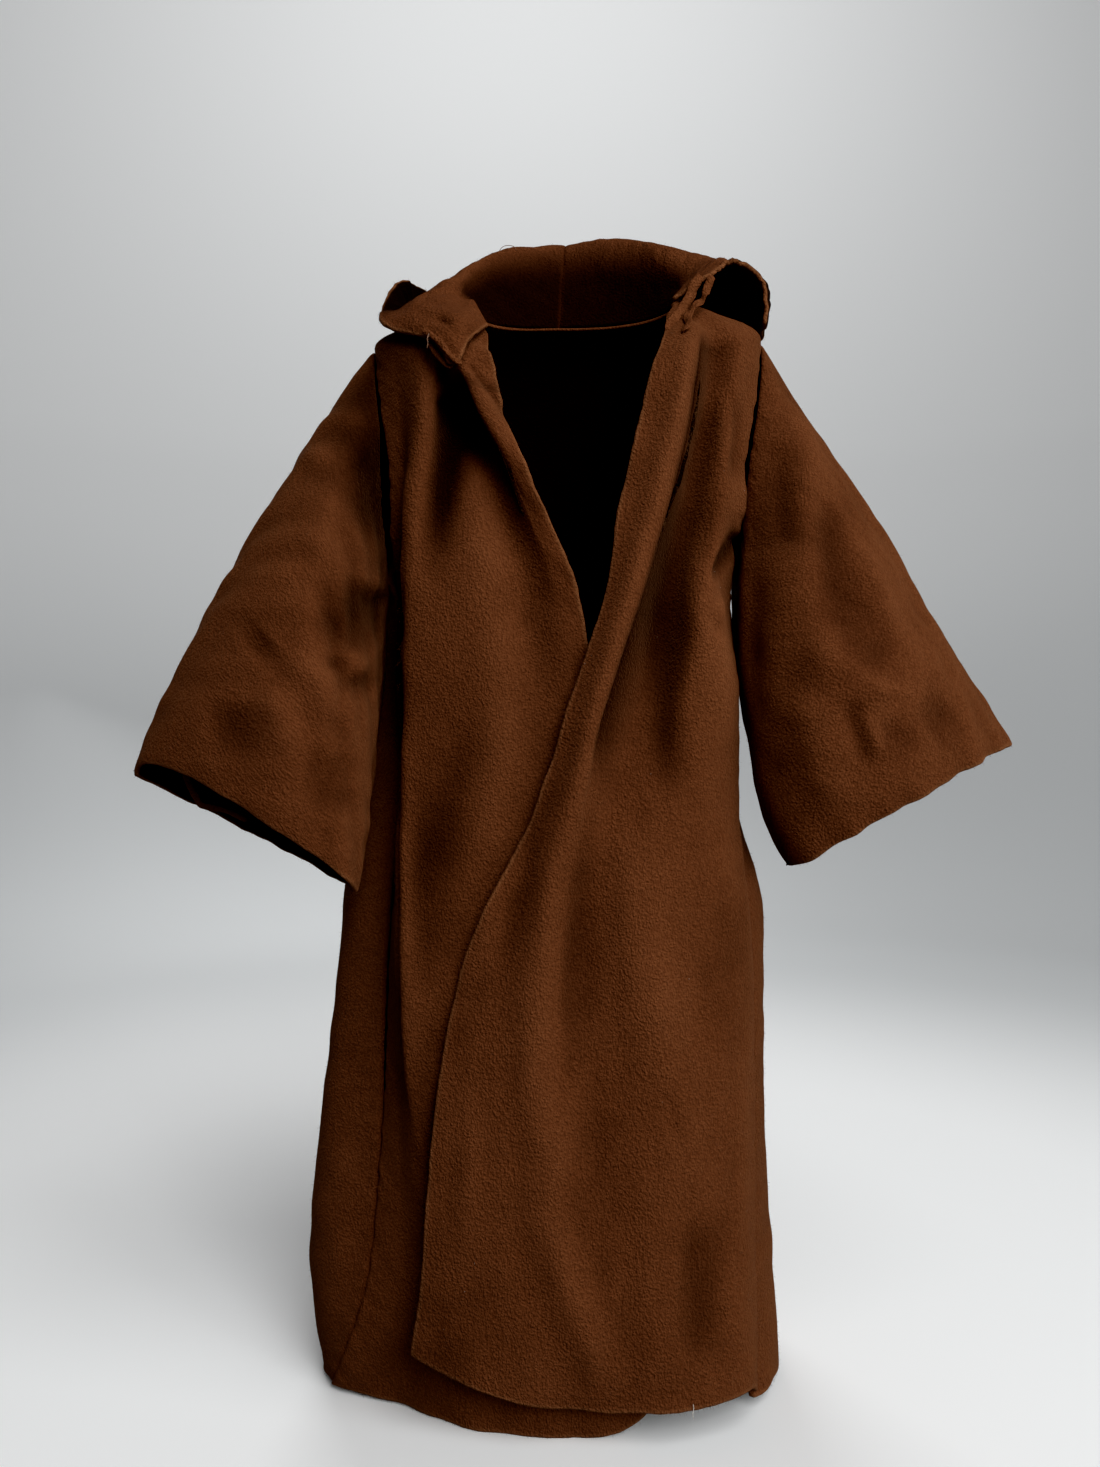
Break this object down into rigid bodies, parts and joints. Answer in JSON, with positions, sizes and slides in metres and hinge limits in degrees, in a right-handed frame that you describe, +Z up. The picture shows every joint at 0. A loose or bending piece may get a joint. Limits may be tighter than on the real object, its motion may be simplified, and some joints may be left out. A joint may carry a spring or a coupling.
{
  "type": "doll hooded robe",
  "caption": "Long brown fleece robe for a doll, open at the front and lapped, with wide sleeves and its hood thrown back on the shoulders.",
  "frame": {"origin": "at the base of the neck, midway between the shoulders, where the wearer holds the robe up", "axes": "+Z up, -Y towards the front of the robe, +X towards the wearer's left"},
  "size_m": [0.1872, 0.0689, 0.2585],
  "materials": {
    "brown fleece": "short matt pile",
    "brown fleece hood": "short matt pile"
  },
  "bodies": {
    "root": {"right_front": "brown fleece", "left_front": "brown fleece", "back": "brown fleece", "right_sleeve": "brown fleece", "left_sleeve": "brown fleece", "right_hood": "brown fleece hood", "left_hood": "brown fleece hood"}
  },
  "joints": []
}
